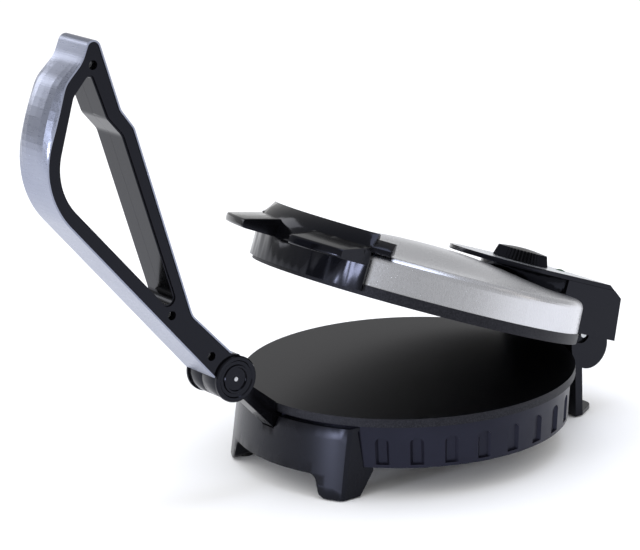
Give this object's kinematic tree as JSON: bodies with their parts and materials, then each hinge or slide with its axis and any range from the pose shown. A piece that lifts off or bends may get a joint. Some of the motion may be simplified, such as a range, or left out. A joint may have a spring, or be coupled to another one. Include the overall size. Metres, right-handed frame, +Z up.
{
  "type": "electric roti maker",
  "caption": "Round two-plate flatbread cooker with a lid hinged at the back, a thermostat knob on the lid, and a long hooped press handle pivoting on a fixed arm at the front.",
  "frame": {"origin": "on the table, under the middle of the bounding box of the whole object with the lid resting half open", "axes": "+Z up, -Y towards the handle, +X to the right of someone facing the handle"},
  "size_m": [0.254, 0.4929, 0.3556],
  "materials": {
    "drum_paint": "semi-gloss moulding",
    "gloss_black": "polished moulding",
    "plate_coating": "casting with a black non-stick coating",
    "cover_steel": "satin",
    "element_sheath": "heat-tinted",
    "shield_sheet": "plain sheet",
    "foot_rubber": "matt",
    "screw_steel": "zinc plated",
    "ceramic_white": "matt",
    "lens_green": "clear tinted",
    "lamp_glass": "clear"
  },
  "bodies": {
    "base": {"base_drum": "drum_paint", "base_bottom_cover": "drum_paint", "lower_plate": "plate_coating", "lower_element": "element_sheath", "lower_heat_shield": "shield_sheet", "front_housing": "gloss_black", "front_feet": "foot_rubber", "press_arm": "gloss_black", "arm_screws": "screw_steel", "rear_bracket": "gloss_black", "rear_feet": "foot_rubber", "hinge_pin": "screw_steel", "cord_gland": "foot_rubber", "terminal_block": "ceramic_white", "thermal_fuse": "ceramic_white", "base_screws": "screw_steel"},
    "lid": {"upper_plate": "plate_coating", "upper_element": "element_sheath", "upper_heat_shield": "shield_sheet", "lid_cover": "cover_steel", "lid_front_catch": "gloss_black", "rear_housing": "gloss_black", "control_panel": "gloss_black", "panel_inlay": "cover_steel", "indicator_lens": "lens_green", "indicator_lamp": "lamp_glass", "thermostat_body": "ceramic_white", "lid_screws": "screw_steel"},
    "knob": {"thermostat_knob": "gloss_black", "thermostat_shaft": "screw_steel"},
    "handle": {"handle_frame_right": "gloss_black", "handle_frame_left": "gloss_black", "handle_band": "cover_steel", "barrel_cap_right": "gloss_black", "barrel_cap_left": "gloss_black", "barrel_pin": "screw_steel", "handle_screws": "screw_steel"}
  },
  "joints": [
    {"name": "lid_hinge", "type": "hinge", "parent": "base", "child": "lid", "pos_m": [0, 0.20872, 0.068], "axis": [-1, 0, 0], "range_deg": [-21, 69]},
    {"name": "handle_swing", "type": "hinge", "parent": "base", "child": "handle", "pos_m": [0, -0.10088, 0.093], "axis": [-1, 0, 0], "range_deg": [0, 52]},
    {"name": "knob_turn", "type": "hinge", "parent": "lid", "child": "knob", "pos_m": [0, 0.18189, 0.12286], "axis": [0, 0.3584, 0.9336], "range_deg": [0, 270]}
  ]
}
